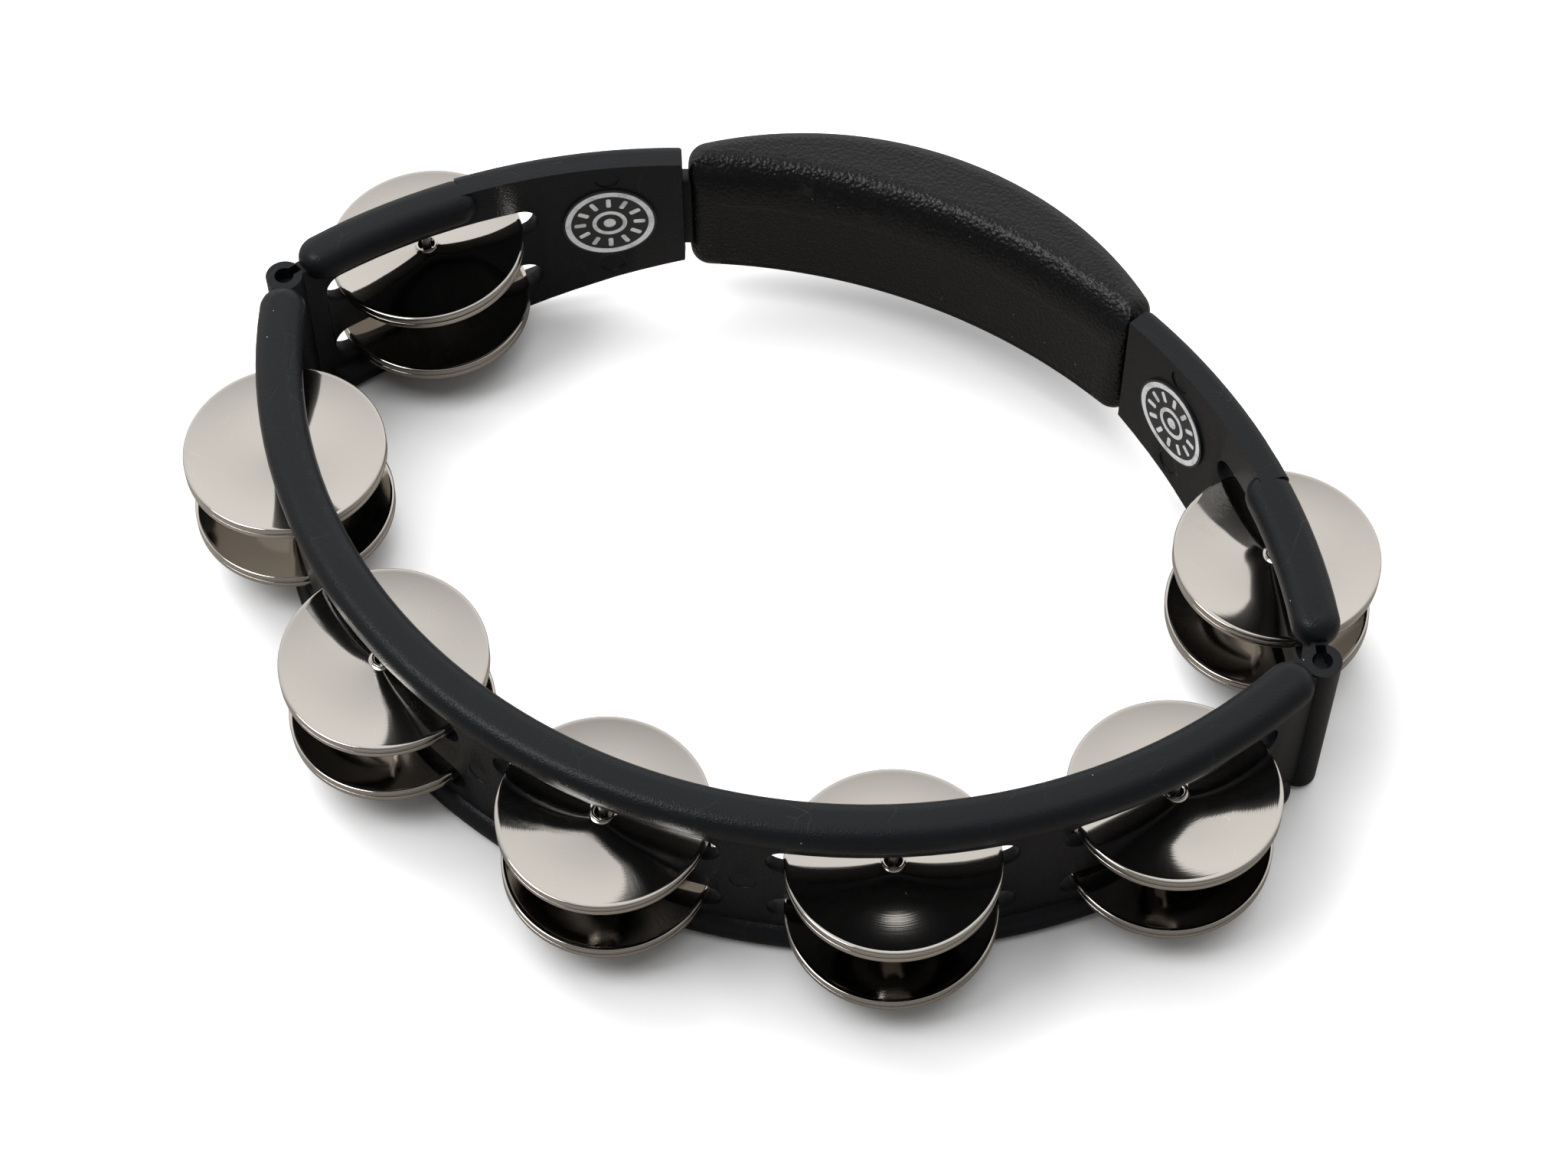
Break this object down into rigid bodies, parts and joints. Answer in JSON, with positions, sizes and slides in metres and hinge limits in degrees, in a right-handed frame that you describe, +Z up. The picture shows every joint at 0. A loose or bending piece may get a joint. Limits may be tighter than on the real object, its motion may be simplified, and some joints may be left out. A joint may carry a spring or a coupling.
{
  "type": "tambourine",
  "caption": "Headless hand tambourine: two black moulded bows joined at the corners, a pebbled rubber grip, and pairs of nickel jingles on steel pins",
  "frame": {"origin": "Under the middle of the whole tambourine's box, on the surface that it lies on.", "axes": "+Z is up, through the open ring as it lies flat. +Y runs from the front, the striking side, to the grip. +X runs to the right along the longest side."},
  "size_m": [0.2898, 0.235, 0.056],
  "materials": {
    "frame_plastic": "satin moulded",
    "grip_rubber": "pebbled",
    "badge_print": "printed",
    "pin_steel": "plain",
    "jingle_nickel": "polished nickel plate"
  },
  "bodies": {
    "frame": {"front_bow": "frame_plastic", "back_bow": "frame_plastic", "grip_cover": "grip_rubber", "badge_left": "badge_print", "badge_right": "badge_print", "jingle_pin_1": "pin_steel", "jingle_pin_2": "pin_steel", "jingle_pin_3": "pin_steel", "jingle_pin_4": "pin_steel", "jingle_pin_5": "pin_steel", "jingle_pin_6": "pin_steel", "jingle_pin_7": "pin_steel"},
    "body_1_lower_bottom": {"jingle_1_lower_bottom": "jingle_nickel"},
    "body_1_lower_top": {"jingle_1_lower_top": "jingle_nickel"},
    "body_2_lower_bottom": {"jingle_2_lower_bottom": "jingle_nickel"},
    "body_2_lower_top": {"jingle_2_lower_top": "jingle_nickel"},
    "body_3_lower_bottom": {"jingle_3_lower_bottom": "jingle_nickel"},
    "body_3_lower_top": {"jingle_3_lower_top": "jingle_nickel"},
    "body_4_lower_bottom": {"jingle_4_lower_bottom": "jingle_nickel"},
    "body_4_lower_top": {"jingle_4_lower_top": "jingle_nickel"},
    "body_5_lower_bottom": {"jingle_5_lower_bottom": "jingle_nickel"},
    "body_5_lower_top": {"jingle_5_lower_top": "jingle_nickel"},
    "body_6_lower_bottom": {"jingle_6_lower_bottom": "jingle_nickel"},
    "body_6_lower_top": {"jingle_6_lower_top": "jingle_nickel"},
    "body_7_lower_bottom": {"jingle_7_lower_bottom": "jingle_nickel"},
    "body_7_lower_top": {"jingle_7_lower_top": "jingle_nickel"},
    "body_1_upper_bottom": {"jingle_1_upper_bottom": "jingle_nickel"},
    "body_1_upper_top": {"jingle_1_upper_top": "jingle_nickel"},
    "body_2_upper_bottom": {"jingle_2_upper_bottom": "jingle_nickel"},
    "body_2_upper_top": {"jingle_2_upper_top": "jingle_nickel"},
    "body_3_upper_bottom": {"jingle_3_upper_bottom": "jingle_nickel"},
    "body_3_upper_top": {"jingle_3_upper_top": "jingle_nickel"},
    "body_4_upper_bottom": {"jingle_4_upper_bottom": "jingle_nickel"},
    "body_4_upper_top": {"jingle_4_upper_top": "jingle_nickel"},
    "body_5_upper_bottom": {"jingle_5_upper_bottom": "jingle_nickel"},
    "body_5_upper_top": {"jingle_5_upper_top": "jingle_nickel"},
    "body_6_upper_bottom": {"jingle_6_upper_bottom": "jingle_nickel"},
    "body_6_upper_top": {"jingle_6_upper_top": "jingle_nickel"},
    "body_7_upper_bottom": {"jingle_7_upper_bottom": "jingle_nickel"},
    "body_7_upper_top": {"jingle_7_upper_top": "jingle_nickel"}
  },
  "joints": [
    {"name": "lift_1_lower_bottom", "type": "slide", "parent": "frame", "child": "body_1_lower_bottom", "axis": [0, 0, 1], "range_m": [0, 0.0014]},
    {"name": "lift_1_lower_top", "type": "slide", "parent": "body_1_lower_bottom", "child": "body_1_lower_top", "axis": [0, 0, 1], "range_m": [0, 0.0014]},
    {"name": "lift_2_lower_bottom", "type": "slide", "parent": "frame", "child": "body_2_lower_bottom", "axis": [0, 0, 1], "range_m": [0, 0.0014]},
    {"name": "lift_2_lower_top", "type": "slide", "parent": "body_2_lower_bottom", "child": "body_2_lower_top", "axis": [0, 0, 1], "range_m": [0, 0.0014]},
    {"name": "lift_3_lower_bottom", "type": "slide", "parent": "frame", "child": "body_3_lower_bottom", "axis": [0, 0, 1], "range_m": [0, 0.0014]},
    {"name": "lift_3_lower_top", "type": "slide", "parent": "body_3_lower_bottom", "child": "body_3_lower_top", "axis": [0, 0, 1], "range_m": [0, 0.0014]},
    {"name": "lift_4_lower_bottom", "type": "slide", "parent": "frame", "child": "body_4_lower_bottom", "axis": [0, 0, 1], "range_m": [0, 0.0014]},
    {"name": "lift_4_lower_top", "type": "slide", "parent": "body_4_lower_bottom", "child": "body_4_lower_top", "axis": [0, 0, 1], "range_m": [0, 0.0014]},
    {"name": "lift_5_lower_bottom", "type": "slide", "parent": "frame", "child": "body_5_lower_bottom", "axis": [0, 0, 1], "range_m": [0, 0.0014]},
    {"name": "lift_5_lower_top", "type": "slide", "parent": "body_5_lower_bottom", "child": "body_5_lower_top", "axis": [0, 0, 1], "range_m": [0, 0.0014]},
    {"name": "lift_6_lower_bottom", "type": "slide", "parent": "frame", "child": "body_6_lower_bottom", "axis": [0, 0, 1], "range_m": [0, 0.0014]},
    {"name": "lift_6_lower_top", "type": "slide", "parent": "body_6_lower_bottom", "child": "body_6_lower_top", "axis": [0, 0, 1], "range_m": [0, 0.0014]},
    {"name": "lift_7_lower_bottom", "type": "slide", "parent": "frame", "child": "body_7_lower_bottom", "axis": [0, 0, 1], "range_m": [0, 0.0014]},
    {"name": "lift_7_lower_top", "type": "slide", "parent": "body_7_lower_bottom", "child": "body_7_lower_top", "axis": [0, 0, 1], "range_m": [0, 0.0014]},
    {"name": "lift_1_upper_bottom", "type": "slide", "parent": "frame", "child": "body_1_upper_bottom", "axis": [0, 0, 1], "range_m": [0, 0.0014]},
    {"name": "lift_1_upper_top", "type": "slide", "parent": "body_1_upper_bottom", "child": "body_1_upper_top", "axis": [0, 0, 1], "range_m": [0, 0.0014]},
    {"name": "lift_2_upper_bottom", "type": "slide", "parent": "frame", "child": "body_2_upper_bottom", "axis": [0, 0, 1], "range_m": [0, 0.0014]},
    {"name": "lift_2_upper_top", "type": "slide", "parent": "body_2_upper_bottom", "child": "body_2_upper_top", "axis": [0, 0, 1], "range_m": [0, 0.0014]},
    {"name": "lift_3_upper_bottom", "type": "slide", "parent": "frame", "child": "body_3_upper_bottom", "axis": [0, 0, 1], "range_m": [0, 0.0014]},
    {"name": "lift_3_upper_top", "type": "slide", "parent": "body_3_upper_bottom", "child": "body_3_upper_top", "axis": [0, 0, 1], "range_m": [0, 0.0014]},
    {"name": "lift_4_upper_bottom", "type": "slide", "parent": "frame", "child": "body_4_upper_bottom", "axis": [0, 0, 1], "range_m": [0, 0.0014]},
    {"name": "lift_4_upper_top", "type": "slide", "parent": "body_4_upper_bottom", "child": "body_4_upper_top", "axis": [0, 0, 1], "range_m": [0, 0.0014]},
    {"name": "lift_5_upper_bottom", "type": "slide", "parent": "frame", "child": "body_5_upper_bottom", "axis": [0, 0, 1], "range_m": [0, 0.0014]},
    {"name": "lift_5_upper_top", "type": "slide", "parent": "body_5_upper_bottom", "child": "body_5_upper_top", "axis": [0, 0, 1], "range_m": [0, 0.0014]},
    {"name": "lift_6_upper_bottom", "type": "slide", "parent": "frame", "child": "body_6_upper_bottom", "axis": [0, 0, 1], "range_m": [0, 0.0014]},
    {"name": "lift_6_upper_top", "type": "slide", "parent": "body_6_upper_bottom", "child": "body_6_upper_top", "axis": [0, 0, 1], "range_m": [0, 0.0014]},
    {"name": "lift_7_upper_bottom", "type": "slide", "parent": "frame", "child": "body_7_upper_bottom", "axis": [0, 0, 1], "range_m": [0, 0.0014]},
    {"name": "lift_7_upper_top", "type": "slide", "parent": "body_7_upper_bottom", "child": "body_7_upper_top", "axis": [0, 0, 1], "range_m": [0, 0.0014]}
  ]
}
